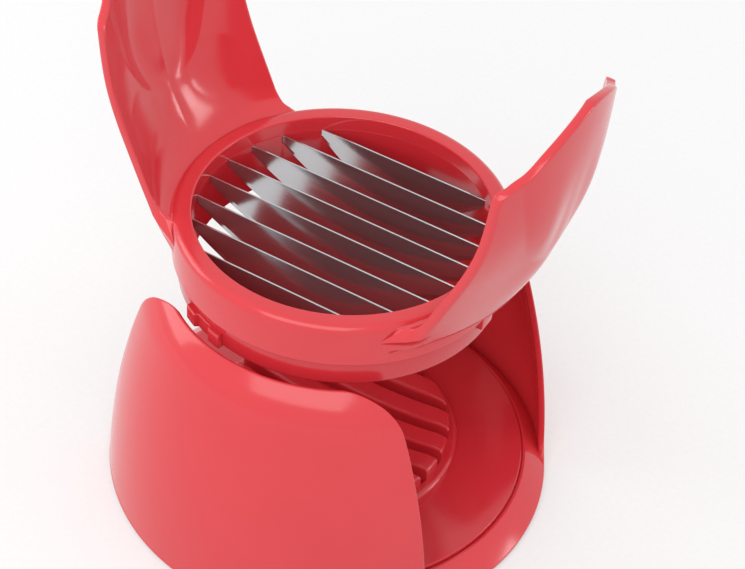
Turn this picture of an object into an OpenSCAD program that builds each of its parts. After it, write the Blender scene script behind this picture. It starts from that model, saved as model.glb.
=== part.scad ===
// Press-down food slicer: a two-winged base with a food holder on its floor,
// and a cutting head of eight blades that is pushed down between the wings by
// two handles. Z is up, the blades and the handles lie along X, and the origin
// is on the table below the middle of the base.

/* [Cutting head] */
// Outside radius of the head's skirt
skirt_r = 60; // [52:1:72]
// Thickness of the ring from the skirt's face to the clear bore
ring_wall = 7; // [6:0.5:10]
// Thickness of the ring's top plate, down to the blades' top edges
plate_t = 6; // [4:0.5:8]
// Height of the skirt, from the rim to its lower edge
skirt_h = 17.2; // [14:0.1:24]
// Wall of the skirt
skirt_wall = 2.2; // [1.8:0.1:3]
// Radius of the rounded outer edge of the rim
rim_round = 3; // [1:0.5:4]
// Height of the clamp ring that shows below the skirt
band_h = 10.5; // [8:0.5:16]
// How far the clamp ring's face is set in from the skirt's face
band_inset = 2.1; // [1.5:0.1:2.4]
// Width of the tongue that keys the clamp ring at each handle
key_w = 7; // [5:0.5:9]
// How far the tongue reaches below the skirt
key_drop = 5; // [3:0.5:8]
// Width of each guide lug in degrees round the ring
lug_angle = 18.5; // [10:0.5:24]
// Height of each guide lug
lug_h = 6; // [4:0.5:8]

/* [Blades] */
// Number of blades
blade_count = 8; // [4:1:8]
// Distance from blade to blade
blade_pitch = 11.55; // [10:0.05:12]
// Thickness of a blade
blade_t = 0.6; // [0.4:0.1:1]
// Depth of a blade at the ring's bore
blade_end_h = 3.5; // [3:0.1:6]
// How much deeper a blade is in its middle
blade_sag = 16; // [8:0.5:20]
// Length of each blade end that the clamp ring holds
blade_tail = 3; // [2:0.25:4]

/* [Handles] */
// Width of a handle
handle_w = 77; // [60:1:84]
// Height of a handle's top above the rim
handle_rise = 86; // [78:1:105]
// Height of a handle's outer corners above the rim
corner_rise = 66; // [50:1:70]
// Outward lean of the lower half of a handle, in degrees
handle_lean = 20.3; // [12:0.1:24]
// Height above the rim where a handle starts to bend upright
bend_rise = 25; // [20:1:32]
// Radius of that bend
bend_r = 150; // [100:5:160]
// Thickness of a handle
handle_t = 3; // [2.4:0.1:4]
// Radius of the dished finger rest in a handle
dish_r = 45; // [40:1:60]
// How far the finger rest bulges out
dish_depth = 4; // [2:0.5:5]
// Height of the finger rest's middle above the rim
dish_rise = 12; // [8:1:20]

/* [Base] */
// Height of the base's wings above the table
base_h = 97; // [80:1:120]
// How much wider the base is at its foot than at its mouth, on the radius
base_flare = 21.4; // [18:0.2:26]
// Wall of the base
base_wall = 2.2; // [1.8:0.1:3]
// Lean of the wing's face at the foot, in degrees
foot_lean = 3; // [1:0.5:5]
// Lean of the wing's face where its shoulder begins, in degrees
shoulder_lean = 15; // [13:0.5:18]
// Lean of the wing's face at the mouth, in degrees
mouth_lean = 48; // [44:1:55]
// Width of the rounding of a wing's top corner
corner_w = 7.5; // [4:0.5:12]
// Height of the rounding of a wing's top corner
corner_h = 18; // [10:1:24]
// Radius of the rounding at the foot of each side opening
opening_round = 8; // [4:1:12]
// Height of the floor above the table
floor_z = 11; // [10.5:0.5:14]
// Thickness of the floor plate
floor_t = 2.2; // [1.8:0.1:3]
// Level width of the sloped foot band round the floor
foot_band = 9.6; // [8:0.2:14]
// Height of the base's rim above the table
rim_z = 1; // [0.8:0.1:2]

/* [Food holder] */
// Gap between the food holder and the ring that comes down round it
holder_gap = 4; // [3:0.5:10]
// Height of the food holder
holder_h = 10; // [8:0.5:16]
// Width of the slots that the blades pass into
slot_w = 3.6; // [2:0.1:5]
// Thickness left below the slots
slot_floor = 2.2; // [1.8:0.1:3]
// Depth of the dish that the food lies in
holder_dish = 5; // [2:0.5:6]
// Width of the level rim round that dish
holder_rim = 4; // [2:0.5:6]

/* [Feet and screws] */
// Radius of a rubber foot
foot_r = 5.5; // [4:0.5:7]
// Thickness of a rubber foot
foot_t = 3; // [2:0.5:4]
// How deep a foot sits in its seat
foot_seat = 1; // [0.5:0.1:1.4]
// Shank radius of the floor and holder screws
screw_r = 1.5; // [1.2:0.1:1.8]
// Head radius of the floor and holder screws
screw_head_r = 3; // [2.4:0.1:3.4]
// Head height of the floor and holder screws
screw_head_h = 1.4; // [1:0.1:1.6]
// Shank radius of the clamp ring's screws
clamp_screw_r = 1.1; // [0.9:0.05:1.3]
// Head radius of the clamp ring's screws
clamp_head_r = 1.8; // [1.6:0.05:1.9]
// Head height of the clamp ring's screws
clamp_head_h = 1.6; // [1:0.1:2]

/* [Clearances] */
// Gap between the skirt and the mouth of the base
mouth_gap = 0.4; // [0.3:0.05:0.8]
// Gap between a guide lug and the mouth of the base
lug_gap = 0.3; // [0.2:0.05:0.5]
// How deep the head sits in the mouth at rest
seat_depth = 1.7; // [1:0.1:3]
// Gap between a handle's edge and the wing beside it
side_gap = 6.5; // [4:0.5:10]
// Gap between two fixed pieces that slip together
fit_gap = 0.2; // [0.1:0.05:0.4]
// Gap round a blade in its seat, and round a screw in its pilot hole
seat_gap = 0.05; // [0.03:0.01:0.08]
// Gap round the floor plate
floor_gap = 0.3; // [0.2:0.05:0.5]

/* [Hidden] */
$fn = 96;
eps = 0.01;
over = 1; // how far a cutting solid runs past the face it cuts
curve_steps = 12;
corner_steps = 8;
fine = 160;

bore_r = skirt_r - ring_wall;
band_r = skirt_r - band_inset;
skirt_in_r = skirt_r - skirt_wall;
head_z = base_h - seat_depth + band_h + skirt_h;
band_z = base_h - seat_depth;
blade_z = head_z - plate_t;
mouth_r = skirt_r + mouth_gap;
rim_r = mouth_r + base_wall + base_flare;
opening_w = handle_w + 2 * side_gap;

band_top_r = rim_r - foot_band;
plate_r = band_top_r - floor_gap;
ledge_z = floor_z - floor_t;
ledge_w = 4.4;
neck_t = 1.8;
neck_drop = 3.8;
foot_lip = 1.5;
tab_t = 2.2;
tab_z = 2.3;
tab_r = 6;
tab_at = band_top_r - 8.4;
boss_r = 4;
boss_roof = 1.4;
foot_at = band_top_r - 6.4;
foot_lobe_wall = 2;
foot_bevel = 0.8;
foot_seat_z = foot_t - foot_seat;
clearance_hole = 0.2;
holder_screw_x = 26;
holder_screw_y = 2 * blade_pitch;
holder_screw_l = 5.5;
clamp_screw_at = (bore_r + skirt_in_r - fit_gap) / 2;
clamp_screw_l = 3.5;
clamp_head_sunk = 0.4;
hole_spare = 0.5;
clamp_screw_angles = [12, 68, 112, 168, 192, 248, 292, 348];
// The lugs stand near one end of each wing's mouth, half a turn apart.
lug_end_gap = 2.75;
mouth_half_angle = acos((opening_w / 2 + corner_w) / (mouth_r + base_wall));
lug_turn = mouth_half_angle - lug_angle / 2 - lug_end_gap;
lug_angles = [-90 - lug_turn, 90 - lug_turn];
quarter_turns = [0, 90, 180, 270];
holder_r = bore_r - holder_gap;
holder_top = floor_z + holder_h;

red = [0.86, 0.16, 0.18];
dark_red = [0.72, 0.12, 0.14];
steel = [0.78, 0.79, 0.80];
screw_grey = [0.55, 0.56, 0.58];
rubber = [0.12, 0.12, 0.13];

// Radii of the wing's long curve and of its shoulder, which take the wall
// from the foot to the mouth with the leans given above.
wing_h = base_h - rim_z;
belly_dz = sin(shoulder_lean) - sin(foot_lean);
belly_dr = cos(foot_lean) - cos(shoulder_lean);
turn_dz = sin(mouth_lean) - sin(shoulder_lean);
turn_dr = cos(shoulder_lean) - cos(mouth_lean);
wing_det = belly_dz * turn_dr - belly_dr * turn_dz;
belly_r = (wing_h * turn_dr - base_flare * turn_dz) / wing_det;
shoulder_r = (belly_dz * base_flare - belly_dr * wing_h) / wing_det;

// Evenly spaced values from one number to another, both included.
function steps(from, to, count) = [for (i = [0 : count]) from + (to - from) * i / count];

// Points of the wing's face, from the foot up, set in by a wall.
function wing_face(inset) = concat(
    [for (a = steps(foot_lean, shoulder_lean, curve_steps))
        [rim_r + belly_r * (cos(a) - cos(foot_lean)) - inset * cos(a),
         rim_z + belly_r * (sin(a) - sin(foot_lean)) - inset * (sin(a) - sin(foot_lean))]],
    [for (a = steps(shoulder_lean, mouth_lean, curve_steps))
        if (a > shoulder_lean)
            [rim_r - belly_r * belly_dr + shoulder_r * (cos(a) - cos(shoulder_lean)) - inset * cos(a),
             rim_z + belly_r * belly_dz + shoulder_r * (sin(a) - sin(shoulder_lean))
                - inset * (sin(a) - sin(foot_lean))]]);

function backwards(list) = [for (i = [len(list) - 1 : -1 : 0]) list[i]];

// Height of the bend's top, the radius where the bend starts and the handle's
// full reach. The straight lower face would meet the skirt's face root_drop
// below the skirt's edge, and a short slope takes it back to the edge itself.
root_drop = 3.8;
root_slope_h = 3.2;
top_room = 2;
top_power = 1.6;
cove_set = 1.5; // how far in from the skirt's face the slope to the handle starts
cove_low = -1.2;
cove_high = 8.9;
bend_top = bend_rise + bend_r * sin(handle_lean);
line_r = skirt_r + (skirt_h + root_drop + bend_rise) * tan(handle_lean);
reach_r = line_r + bend_r * (1 - cos(handle_lean));

// Points of a handle's outer face from the bend up, set in by a thickness.
function handle_face(inset) = concat(
    [for (a = steps(handle_lean, 0, curve_steps))
        [reach_r - bend_r * (1 - cos(a)) - inset * cos(a),
         head_z + bend_top - bend_r * sin(a) + inset * sin(a)]],
    [[reach_r - inset, head_z + handle_rise + top_room]]);

// Radius of the handle's straight lower face at a height above the rim.
function line_at(rise) = line_r - (bend_rise - rise) * tan(handle_lean);

// Height of a handle's top edge at a distance from its middle.
function top_edge(y) = head_z + corner_rise
    + (handle_rise - corner_rise) * (1 - pow(abs(y) / (handle_w / 2), top_power));

function blade_y(i) = (i - (blade_count - 1) / 2) * blade_pitch;
function half_chord(r, y) = sqrt(r * r - y * y);

module at_polar(r, angle) {
    rotate([0, 0, angle]) translate([r, 0, 0]) children();
}

module tube(outer, inner, z0, z1) {
    difference() {
        translate([0, 0, z0]) cylinder(r = outer, h = z1 - z0);
        translate([0, 0, z0 - over]) cylinder(r = inner, h = z1 - z0 + 2 * over);
    }
}

// A slice of a ring about Z, angle degrees wide and centred on +X.
module ring_slice(outer, inner, z0, z1, angle) {
    rotate([0, 0, -angle / 2]) rotate_extrude(angle = angle)
        translate([inner, z0]) square([outer - inner, z1 - z0]);
}

// ---- base ----

// Outline of a side opening, seen along X.
module opening_outline() {
    half = opening_w / 2;
    low = rim_z + foot_lip;
    side = concat(
        [for (a = steps(-90, 0, corner_steps))
            [half - opening_round + opening_round * cos(a),
             low + opening_round + opening_round * sin(a)]],
        [for (a = steps(0, 90, corner_steps))
            [half + corner_w - corner_w * cos(a), base_h - corner_h + corner_h * sin(a)]],
        [[half + corner_w, base_h + over]]);
    polygon(concat(side, [for (p = backwards(side)) [-p[0], p[1]]]));
}

module wings() {
    difference() {
        rotate_extrude($fn = fine)
            polygon(concat(wing_face(0), backwards(wing_face(base_wall))));
        translate([-rim_r - over, 0, 0]) rotate([90, 0, 90])
            linear_extrude(height = 2 * (rim_r + over)) opening_outline();
    }
}

// The sloped band that joins the wings, with the neck and the ledge that
// carry the floor plate.
module foot_ring() {
    rotate_extrude($fn = fine) polygon([
        [band_top_r, floor_z], [rim_r, rim_z + foot_lip], [rim_r, rim_z],
        [rim_r - base_wall, rim_z], [band_top_r + neck_t, floor_z - neck_drop],
        [band_top_r + neck_t, tab_z], [band_top_r, tab_z], [band_top_r, ledge_z - floor_t],
        [band_top_r - ledge_w, ledge_z - floor_t], [band_top_r - ledge_w, ledge_z],
        [band_top_r, ledge_z]]);
}

module base_shell() {
    color(red) difference() {
        union() {
            wings();
            foot_ring();
            for (a = quarter_turns) {
                at_polar(tab_at, a) translate([0, 0, tab_z]) cylinder(r = tab_r, h = tab_t);
                rotate([0, 0, a]) translate([tab_at, -tab_r, tab_z])
                    cube([band_top_r + eps - tab_at, 2 * tab_r, tab_t]);
                at_polar(foot_at, a + 45) translate([0, 0, foot_seat_z])
                    cylinder(r = foot_r + foot_lobe_wall, h = ledge_z - floor_t - foot_seat_z + eps);
            }
        }
        for (a = quarter_turns) {
            at_polar(tab_at, a) translate([0, 0, tab_z - over])
                cylinder(r = screw_r + clearance_hole, h = tab_t + 2 * over);
            at_polar(foot_at, a + 45) translate([0, 0, foot_seat_z - over])
                cylinder(r = foot_r + seat_gap, h = foot_seat + over);
        }
    }
}

module floor_plate() {
    color(dark_red) difference() {
        union() {
            translate([0, 0, ledge_z]) cylinder(r = plate_r, h = floor_t, $fn = fine);
            for (a = quarter_turns) at_polar(tab_at, a)
                translate([0, 0, tab_z + tab_t])
                    cylinder(r = boss_r, h = ledge_z - tab_z - tab_t + eps);
        }
        for (a = quarter_turns) at_polar(tab_at, a) translate([0, 0, tab_z])
            cylinder(r = screw_r + seat_gap, h = floor_z - boss_roof - tab_z);
        for (x = [-1, 1], y = [-1, 1])
            translate([x * holder_screw_x, y * holder_screw_y, ledge_z - over])
                cylinder(r = screw_r + clearance_hole, h = floor_t + 2 * over);
    }
}

module screw(shank_r, shank_l, head_r, head_h) {
    translate([0, 0, -head_h]) cylinder(r = head_r, h = head_h);
    cylinder(r = shank_r, h = shank_l);
}

module floor_screws() {
    color(screw_grey) for (a = quarter_turns) at_polar(tab_at, a)
        translate([0, 0, tab_z])
            screw(screw_r, floor_z - boss_roof - tab_z - hole_spare, screw_head_r, screw_head_h);
}

module food_holder() {
    dish_edge = holder_r - holder_rim;
    dish_ball = (dish_edge * dish_edge + holder_dish * holder_dish) / (2 * holder_dish);
    color(red) difference() {
        translate([0, 0, floor_z]) cylinder(r = holder_r, h = holder_h, $fn = 128);
        translate([0, 0, holder_top - holder_dish + dish_ball]) sphere(r = dish_ball, $fn = fine);
        for (i = [0 : blade_count - 1])
            translate([-holder_r - over, blade_y(i) - slot_w / 2, floor_z + slot_floor])
                cube([2 * (holder_r + over), slot_w, holder_h]);
        for (x = [-1, 1], y = [-1, 1])
            translate([x * holder_screw_x, y * holder_screw_y, floor_z - over])
                cylinder(r = screw_r + seat_gap, h = over + holder_screw_l + hole_spare);
    }
}

module holder_screws() {
    color(screw_grey) for (x = [-1, 1], y = [-1, 1])
        translate([x * holder_screw_x, y * holder_screw_y, ledge_z])
            screw(screw_r, floor_t + holder_screw_l, screw_head_r, screw_head_h);
}

module foot(n) {
    color(rubber) at_polar(foot_at, 45 + 90 * (n - 1)) rotate_extrude()
        polygon([[0, 0], [foot_r - foot_bevel, 0], [foot_r, foot_bevel], [foot_r, foot_t],
            [0, foot_t]]);
}

module foot_1() { foot(1); }
module foot_2() { foot(2); }
module foot_3() { foot(3); }
module foot_4() { foot(4); }

// ---- cutting head ----

module head_ring() {
    rotate_extrude($fn = fine) polygon(concat(
        [[bore_r, head_z]],
        [for (a = steps(90, 0, corner_steps))
            [skirt_r - rim_round + rim_round * cos(a), head_z - rim_round + rim_round * sin(a)]],
        [[skirt_r, head_z - skirt_h], [skirt_in_r, head_z - skirt_h],
         [skirt_in_r, blade_z], [bore_r, blade_z]]));
}

// Outline of a handle, seen along X.
module handle_outline() {
    polygon(concat(
        [for (y = steps(-handle_w / 2, handle_w / 2, 2 * curve_steps)) [y, top_edge(y)]],
        [[handle_w / 2, head_z - skirt_h], [-handle_w / 2, head_z - skirt_h]]));
}

module dish_ball(depth) {
    surface_r = line_at(dish_rise);
    back = dish_depth - dish_r;
    translate([surface_r + back * cos(handle_lean), 0,
               head_z + dish_rise - back * sin(handle_lean)])
        sphere(r = dish_r - depth);
}

// Everything inside the handle's outer face, and everything inside its inner one.
module handle_outside() {
    rotate_extrude($fn = fine) polygon(concat(
        [[0, head_z - skirt_h], [skirt_r, head_z - skirt_h],
         [line_at(root_slope_h - skirt_h), head_z - skirt_h + root_slope_h]],
        handle_face(0), [[0, head_z + handle_rise + top_room]]));
    dish_ball(0);
}

module handle_inside() {
    rotate_extrude($fn = fine) polygon(concat(
        [[0, head_z + cove_low], [skirt_r - cove_set, head_z + cove_low],
         [line_at(cove_high) - handle_t / cos(handle_lean), head_z + cove_high]],
        handle_face(handle_t), [[0, head_z + handle_rise + top_room]]));
    intersection() {
        dish_ball(handle_t);
        translate([0, 0, head_z + over]) cylinder(r = reach_r + dish_r, h = handle_rise);
    }
}

// One handle on the +X side: a curved sheet with a dished finger rest, which
// stands on the ring over a sloped root.
module handle() {
    intersection() {
        difference() {
            handle_outside();
            handle_inside();
            translate([0, 0, head_z - skirt_h - over]) cylinder(r = skirt_in_r, h = skirt_h + over);
        }
        translate([bore_r / 2, 0, 0]) rotate([90, 0, 90])
            linear_extrude(height = reach_r) handle_outline();
    }
}

// The tongue at +X that reaches down into the clamp ring, grown by a gap.
module key_tongue(gap) {
    intersection() {
        tube(skirt_r + gap, skirt_in_r - gap, head_z - skirt_h - key_drop - gap,
            head_z - skirt_h + over);
        translate([0, -key_w / 2 - gap, band_z])
            cube([skirt_r + over, key_w + 2 * gap, skirt_h + band_h]);
    }
}

module head_frame() {
    color(red) difference() {
        union() {
            head_ring();
            for (side = [0, 1]) mirror([side, 0, 0]) handle();
            for (a = [0, 180]) rotate([0, 0, a]) key_tongue(0);
        }
        for (a = clamp_screw_angles) at_polar(clamp_screw_at, a)
            translate([0, 0, blade_z - over])
                cylinder(r = clamp_screw_r + seat_gap, h = over + clamp_screw_l + hole_spare);
    }
}

module blade_clamp_ring() {
    color(dark_red) difference() {
        union() {
            tube(skirt_in_r - fit_gap, bore_r, band_z, blade_z);
            tube(band_r, bore_r, band_z, head_z - skirt_h - fit_gap);
            for (a = lug_angles) rotate([0, 0, a])
                ring_slice(mouth_r - lug_gap, band_r - over, band_z, band_z + lug_h, lug_angle);
        }
        for (a = [0, 180]) rotate([0, 0, a]) key_tongue(fit_gap);
        for (i = [0 : blade_count - 1]) {
            half = half_chord(bore_r + blade_tail, blade_y(i)) + seat_gap;
            translate([-half, blade_y(i) - blade_t / 2 - seat_gap, blade_z - blade_end_h - seat_gap])
                cube([2 * half, blade_t + 2 * seat_gap, blade_end_h + over]);
        }
        for (a = clamp_screw_angles) at_polar(clamp_screw_at, a) {
            translate([0, 0, band_z - over])
                cylinder(r = clamp_screw_r + seat_gap, h = blade_z - band_z + 2 * over);
            translate([0, 0, band_z - over])
                cylinder(r = clamp_head_r + seat_gap, h = over + clamp_head_h + clamp_head_sunk);
        }
    }
}

module clamp_screws() {
    color(screw_grey) for (a = clamp_screw_angles) at_polar(clamp_screw_at, a)
        translate([0, 0, band_z + clamp_head_h + clamp_head_sunk])
            screw(clamp_screw_r, blade_z - band_z - clamp_head_h - clamp_head_sunk + clamp_screw_l,
                clamp_head_r, clamp_head_h);
}

// A blade: straight along its top edge, curved along its cutting edge.
module blade(n) {
    y = blade_y(n - 1);
    clear = half_chord(bore_r, y);
    half = half_chord(bore_r + blade_tail, y);
    cutting_edge = [for (x = steps(-clear, clear, 2 * curve_steps))
        [x, -blade_end_h - blade_sag * (1 - pow(x / clear, 2))]];
    color(steel) translate([0, y + blade_t / 2, blade_z]) rotate([90, 0, 0])
        linear_extrude(height = blade_t)
            polygon(concat([[half, -blade_end_h], [half, 0], [-half, 0], [-half, -blade_end_h]],
                cutting_edge));
}

module blade_1() { blade(1); }
module blade_2() { blade(2); }
module blade_3() { blade(3); }
module blade_4() { blade(4); }
module blade_5() { blade(5); }
module blade_6() { blade(6); }
module blade_7() { blade(7); }
module blade_8() { blade(8); }

base_shell();
floor_plate();
floor_screws();
food_holder();
holder_screws();
foot_1();
foot_2();
foot_3();
foot_4();
head_frame();
blade_clamp_ring();
clamp_screws();
blade_1();
blade_2();
blade_3();
blade_4();
blade_5();
blade_6();
blade_7();
blade_8();
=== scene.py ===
"""Studio scene of a press-down food slicer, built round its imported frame.

Every piece is modelled in millimetres in the frame's own axes (Z up, the blades
and the handles along X, the wings at the front and the back) and is scaled to
metres when its mesh is made. Lengths are in millimetres and angles in degrees,
unless a name says otherwise.
"""

import logging
import math
from dataclasses import dataclass, field
from enum import Enum

import bmesh
import bpy
from mathutils import Matrix, Vector


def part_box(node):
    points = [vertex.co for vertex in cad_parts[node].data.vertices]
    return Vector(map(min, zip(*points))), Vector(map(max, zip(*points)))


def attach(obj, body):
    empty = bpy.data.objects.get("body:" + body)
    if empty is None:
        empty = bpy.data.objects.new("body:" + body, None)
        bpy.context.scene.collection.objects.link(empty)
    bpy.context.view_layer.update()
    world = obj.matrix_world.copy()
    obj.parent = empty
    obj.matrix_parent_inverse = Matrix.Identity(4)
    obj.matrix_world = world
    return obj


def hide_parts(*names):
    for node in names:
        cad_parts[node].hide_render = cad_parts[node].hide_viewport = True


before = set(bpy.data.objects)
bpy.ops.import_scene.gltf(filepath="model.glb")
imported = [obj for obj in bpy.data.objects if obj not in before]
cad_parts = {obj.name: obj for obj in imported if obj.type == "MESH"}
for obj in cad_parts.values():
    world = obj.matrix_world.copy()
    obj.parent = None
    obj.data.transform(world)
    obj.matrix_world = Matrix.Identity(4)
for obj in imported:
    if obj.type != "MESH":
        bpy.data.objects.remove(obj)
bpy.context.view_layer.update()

# Metres in a millimetre, and the gap in millimetres that welding closes.
MM = 0.001
WELD = 0.002
# Facets round a ring and round a screw hole, and edges in a rounding.
RING_FACETS = 240
HOLE_FACETS = 24
ROUND_STEPS = 4
QUARTERS = (0.0, 90.0, 180.0, 270.0)
WHITE = (1.0, 1.0, 1.0, 1.0)
LOG = logging.getLogger("slicer")

Point2 = tuple[float, float]
Point3 = tuple[float, float, float]
Line = list[Point2]
Grid = list[list[Point3]]
Piece = bpy.types.Object
Material = bpy.types.Material
Tree = bpy.types.NodeTree
Socket = bpy.types.NodeSocket
Value = float | Socket


# ---- numbers and outlines ----


def steps(start: float, end: float, count: int) -> list[float]:
    """Space values evenly from start to end, both included, with count gaps between them."""
    return [start + (end - start) * i / count for i in range(count + 1)]


def ease(low: float, high: float, value: float) -> float:
    """Rise smoothly from 0 at the low value to 1 at the high one."""
    share = min(max((value - low) / (high - low), 0.0), 1.0)
    return share * share * (3.0 - 2.0 * share)


def bell(value: float, centre: float, reach: float) -> float:
    """Bell curve: 1 at its centre, and about a third at its reach."""
    return math.exp(-(((value - centre) / reach) ** 2))


def polar(radius: float, angle: float, height: float = 0.0) -> Point3:
    """Place a point at a radius and an angle in degrees round Z."""
    turn = math.radians(angle)
    return (radius * math.cos(turn), radius * math.sin(turn), height)


def rounded(corners: list[Point3], arc_steps: int = ROUND_STEPS) -> Line:
    """Round the corners of a closed outline.

    Args:
        corners: Each corner's two coordinates and its rounding radius.
        arc_steps: Number of edges in each rounding.

    Returns:
        The points of the rounded outline.
    """
    outline: Line = []
    for i, (across, height, radius) in enumerate(corners):
        here = Vector((across, height))
        if radius == 0:
            outline.append((across, height))
            continue
        before = (Vector(corners[i - 1][:2]) - here).normalized()
        after = (Vector(corners[(i + 1) % len(corners)][:2]) - here).normalized()
        half = before.angle(after) / 2
        centre = here + (before + after).normalized() * radius / math.sin(half)
        reach = radius / math.tan(half)
        first = here + before * reach - centre
        last = here + after * reach - centre
        for share in steps(0, 1, arc_steps):
            arm = (first.lerp(last, share)).normalized() * radius
            outline.append((centre.x + arm.x, centre.y + arm.y))
    return outline


def resample(line: Line, count: int) -> Line:
    """Space points evenly along a line.

    Args:
        line: Points of the line.
        count: Number of gaps between the new points.

    Returns:
        The new points, both ends included.
    """
    walked = [0.0]
    for a, b in zip(line, line[1:]):
        walked.append(walked[-1] + math.dist(a, b))
    points: Line = []
    k = 0
    for goal in steps(0, walked[-1], count):
        while k < len(line) - 2 and walked[k + 1] < goal:
            k += 1
        share = (goal - walked[k]) / max(walked[k + 1] - walked[k], 1e-9)
        share = min(share, 1.0)
        (ax, ay), (bx, by) = line[k], line[k + 1]
        points.append((ax + (bx - ax) * share, ay + (by - ay) * share))
    return points


def fill(low: Line, high: Line, left: Line, right: Line) -> list[Line]:
    """Fill the space inside four border lines with a grid.

    Args:
        low: Lower border, from left to right.
        high: Upper border, from left to right.
        left: Left border, from low to high.
        right: Right border, from low to high.

    Returns:
        Rows of points, from low to high.
    """
    rows: list[Line] = []
    across, up = len(low) - 1, len(left) - 1
    for j in range(up + 1):
        v = j / up
        row: Line = []
        for i in range(across + 1):
            u = i / across
            point = []
            for axis in (0, 1):
                edges = (1 - v) * low[i][axis] + v * high[i][axis]
                edges += (1 - u) * left[j][axis] + u * right[j][axis]
                corners = (1 - v) * ((1 - u) * low[0][axis] + u * low[-1][axis])
                corners += v * ((1 - u) * high[0][axis] + u * high[-1][axis])
                point.append(edges - corners)
            row.append((point[0], point[1]))
        rows.append(row)
    return rows


def round_rows(front: Grid, back: Grid, radius: float, ends: tuple[int, ...]) -> tuple[Grid, Grid]:
    """Round the first or last row of a sheet's two faces over to each other.

    Args:
        front: Grid of one face.
        back: Grid of the other face.
        radius: Radius of the rounding, at most half the sheet's thickness.
        ends: 0 for the first row and -1 for the last.

    Returns:
        The two faces with the rounding's rows in place of each border row.
    """
    faces = []
    for grid, other in ((front, back), (back, front)):
        rows = list(grid)
        for end in ends:
            beside = 2 if end == 0 else -3
            turned: Grid = []
            for angle in steps(0, math.pi / 2, ROUND_STEPS):
                row = []
                for here, inner, across in zip(grid[end], grid[beside], other[end]):
                    edge, through = Vector(here), Vector(across) - Vector(here)
                    # Just under half the thickness, so that the two sides never meet.
                    bend = min(radius, 0.48 * through.length)
                    point = edge + (Vector(inner) - edge).normalized() * bend * (1 - math.cos(angle))
                    point += through.normalized() * bend * (1 - math.sin(angle))
                    row.append(tuple(point))
                turned.append(row)
            rows = turned + rows[2:] if end == 0 else rows[:-2] + turned[::-1]
        faces.append(rows)
    return faces[0], faces[1]


def flipped(grid: Grid) -> Grid:
    """Swap a grid's rows and columns."""
    return [list(line) for line in zip(*grid)]


def round_sheet(
    front: Grid, back: Grid, radius: float, ends: tuple[int, ...] = (0, -1)
) -> tuple[Grid, Grid]:
    """Round the borders of a sheet's two faces.

    Args:
        front: Grid of one face.
        back: Grid of the other face.
        radius: Radius of the rounding.
        ends: Which of the first and last rows are rounded. Both sides always are.

    Returns:
        The two faces with rounded borders.
    """
    front, back = round_rows(front, back, radius, ends)
    front, back = round_rows(flipped(front), flipped(back), radius, (0, -1))
    return flipped(front), flipped(back)


# ---- meshes ----


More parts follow.
